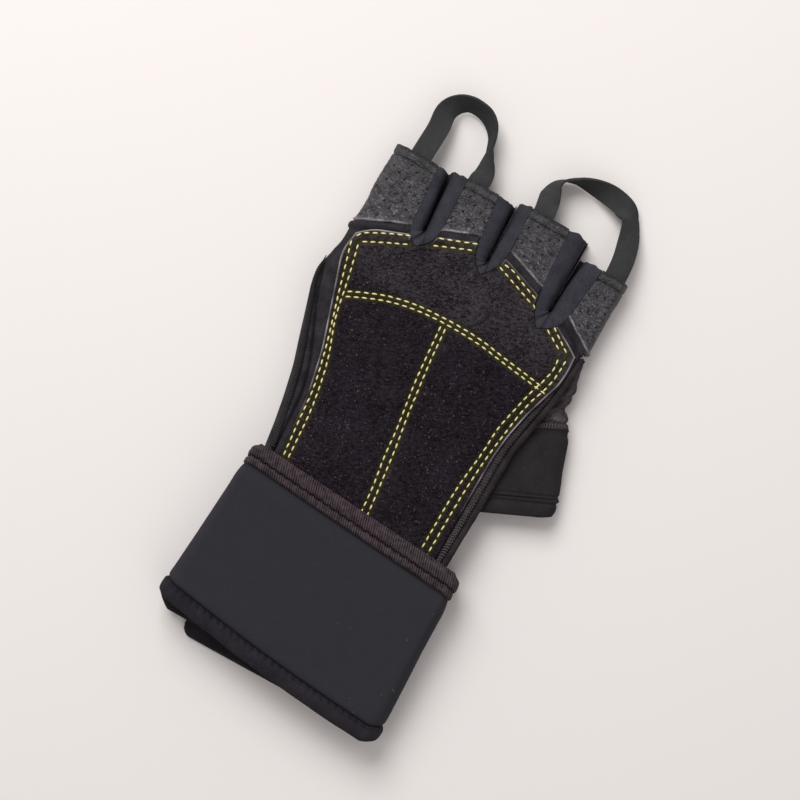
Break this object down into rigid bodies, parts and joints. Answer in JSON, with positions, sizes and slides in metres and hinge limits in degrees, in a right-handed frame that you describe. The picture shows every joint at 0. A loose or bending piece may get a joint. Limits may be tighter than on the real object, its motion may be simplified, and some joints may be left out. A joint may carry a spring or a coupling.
{
  "type": "weightlifting glove",
  "caption": "Half-finger lifting glove lying palm up: padded suede palm, perforated leather stalls, short thumb stall, tape pull loops and a closed wrist strap.",
  "frame": {"origin": "middle of the back of the hand, on the flat face that the glove rests on", "axes": "+Z out of the palm, +Y along the hand to the fingers, +X to the thumb side"},
  "size_m": [0.1243, 0.2338, 0.02],
  "materials": {
    "cloth": "knitted stretch cloth, matte",
    "suede": "black suede, napped",
    "seam_cloth": "overlocked cloth edge",
    "leather": "pebbled, perforated, soft sheen",
    "stretch_cloth": "smooth stretch cloth",
    "neoprene": "smooth cloth-faced neoprene",
    "ribbed_binding": "fine ribbed elastic binding",
    "hook_tape": "hook fastening tape",
    "woven_tape": "woven nylon tape"
  },
  "bodies": {
    "root": {"back_shell": "cloth", "palm_shell": "cloth", "palm_panel": "suede", "pinky_seam": "seam_cloth", "thumb_side_roll": "seam_cloth", "finger_front_pinky": "leather", "finger_front_ring": "leather", "finger_front_middle": "leather", "finger_front_index": "leather", "fourchette_pinky_ring": "stretch_cloth", "fourchette_ring_middle": "stretch_cloth", "fourchette_middle_index": "stretch_cloth", "thumb_gusset": "seam_cloth", "thumb_band": "stretch_cloth", "thumb_hem": "stretch_cloth", "cuff": "cloth", "wrist_wrap": "neoprene", "wrap_binding": "ribbed_binding", "wrap_hem": "neoprene", "wrap_hook_patch": "hook_tape", "pull_loop_outer": "woven_tape", "pull_loop_inner": "woven_tape"}
  },
  "joints": []
}
